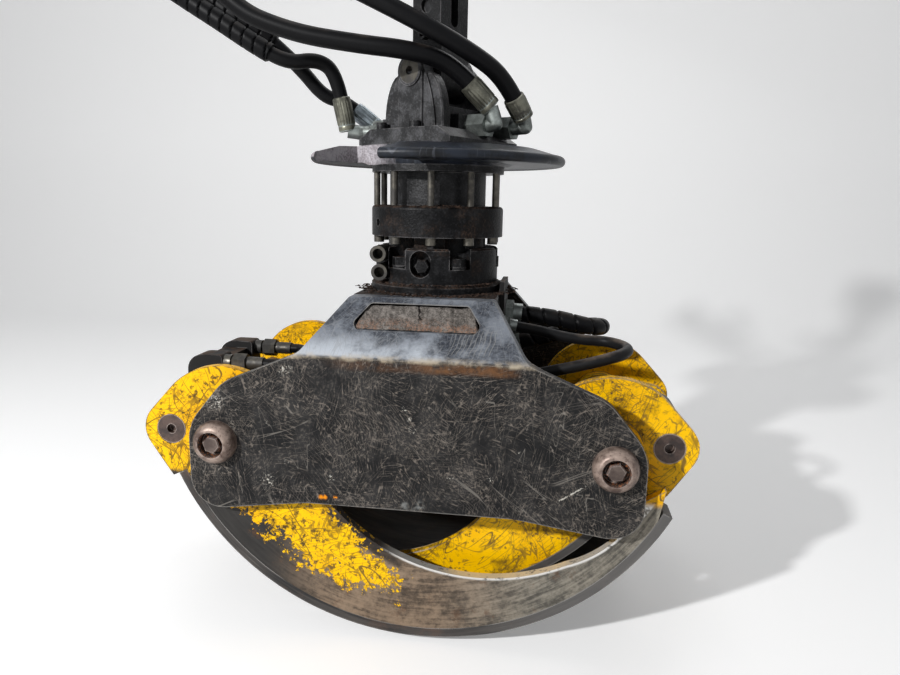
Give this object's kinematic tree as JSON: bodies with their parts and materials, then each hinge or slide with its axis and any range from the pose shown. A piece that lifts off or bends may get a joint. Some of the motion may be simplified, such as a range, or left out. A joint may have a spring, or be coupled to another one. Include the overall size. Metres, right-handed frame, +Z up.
{
  "type": "timber grapple with rotator",
  "caption": "Timber grapple of a forestry forwarder, hung on a rotator and a swinging link, with interleaving curved claws worked by a hydraulic cylinder.",
  "frame": {"origin": "centre of the crane-tip pin's bore at the top of the suspension link", "axes": "+Z up along the hanging grapple, +X along the claws' opening to the narrow claw's side, +Y from the front frame plate to the rear one"},
  "size_m": [0.9014, 0.492, 1.111],
  "materials": {
    "frame_black": "scratched black paint",
    "claw_yellow": "worn yellow paint",
    "worn_steel": "bare steel worn by timber",
    "cast_black": "greasy black casting",
    "cylinder_black": "black paint",
    "pin_steel": "browned steel",
    "bright_steel": "plated steel",
    "hose_rubber": "matte black hose cover",
    "rod_chrome": "hard chrome"
  },
  "bodies": {
    "link": {"suspension_link": "cast_black"},
    "head": {"head_casting": "cast_black", "head_pin": "pin_steel", "head_bolts": "pin_steel", "rotator_umbrella": "cast_black", "rotator_stator": "cast_black", "rotator_tie_rods": "bright_steel", "rotator_collar": "cast_black", "head_hose_fittings": "bright_steel", "hose_a": "hose_rubber", "hose_b": "hose_rubber", "hose_c": "hose_rubber", "hose_d": "hose_rubber", "hose_a_coupling": "bright_steel", "hose_b_coupling": "bright_steel", "hose_c_coupling": "bright_steel", "hose_d_coupling": "bright_steel"},
    "frame": {"rotator_base": "cast_black", "flange_bolts": "pin_steel", "rotator_sleeves": "cast_black", "hood_flanks": "frame_black", "hose_bracket": "frame_black", "hose_hangers": "frame_black", "loop_hose_low": "hose_rubber", "loop_hose_high": "hose_rubber", "loop_hose_fittings": "bright_steel", "frame_top_plate": "frame_black", "frame_front_plate": "frame_black", "frame_rear_plate": "frame_black", "inner_front_plate": "frame_black", "inner_rear_plate": "frame_black", "frame_shelves": "frame_black", "frame_spreaders": "frame_black", "left_pivot_pins": "pin_steel", "right_pivot_pins": "pin_steel"},
    "left_claw": {"left_claw_front_plate": "claw_yellow", "left_claw_rear_plate": "claw_yellow", "left_claw_lugs": "claw_yellow", "left_claw_hubs": "claw_yellow", "left_claw_wear_strips": "worn_steel", "left_lug_pin": "pin_steel"},
    "right_claw": {"right_claw_front_plate": "claw_yellow", "right_claw_rear_plate": "claw_yellow", "right_claw_lugs": "claw_yellow", "right_claw_hubs": "claw_yellow", "right_claw_shell": "worn_steel", "right_lug_pins": "pin_steel"},
    "barrel": {"cylinder_barrel": "cylinder_black", "cylinder_gland": "bright_steel", "cylinder_hose_ends": "bright_steel", "cylinder_front_hose": "hose_rubber", "cylinder_rear_hose": "hose_rubber", "cylinder_hose_clamp": "cast_black"},
    "rod": {"piston_rod": "rod_chrome"}
  },
  "joints": [
    {"name": "link_swing", "type": "hinge", "parent": "link", "child": "head", "pos_m": [0, 0, -0.24], "axis": [-0.5, -0.866, 0], "range_deg": [-45, 45]},
    {"name": "rotator_spin", "type": "hinge", "parent": "head", "child": "frame", "pos_m": [0, 0, -0.471], "axis": [0, 0, 1], "continuous": true},
    {"name": "left_claw_swing", "type": "hinge", "parent": "frame", "child": "left_claw", "pos_m": [-0.28, 0, -0.771], "axis": [0, 1, 0], "range_deg": [0, 118]},
    {"name": "right_claw_swing", "type": "hinge", "parent": "frame", "child": "right_claw", "pos_m": [0.28, 0, -0.771], "axis": [0, -1, 0], "range_deg": [0, 118]},
    {"name": "barrel_swing", "type": "hinge", "parent": "left_claw", "child": "barrel", "pos_m": [-0.361, 0, -0.765], "axis": [0, -1, 0], "range_deg": [0, 118]},
    {"name": "rod_slide", "type": "slide", "parent": "barrel", "child": "rod", "axis": [-1, 0, 0], "range_m": [0, 0.2485]}
  ],
  "couplings": [
    {"joint": "right_claw_swing", "follows": "left_claw_swing", "ratio": 1},
    {"joint": "barrel_swing", "follows": "left_claw_swing", "ratio": 1},
    {"joint": "rod_slide", "follows": "left_claw_swing", "m_per_rad": 0.12066}
  ]
}
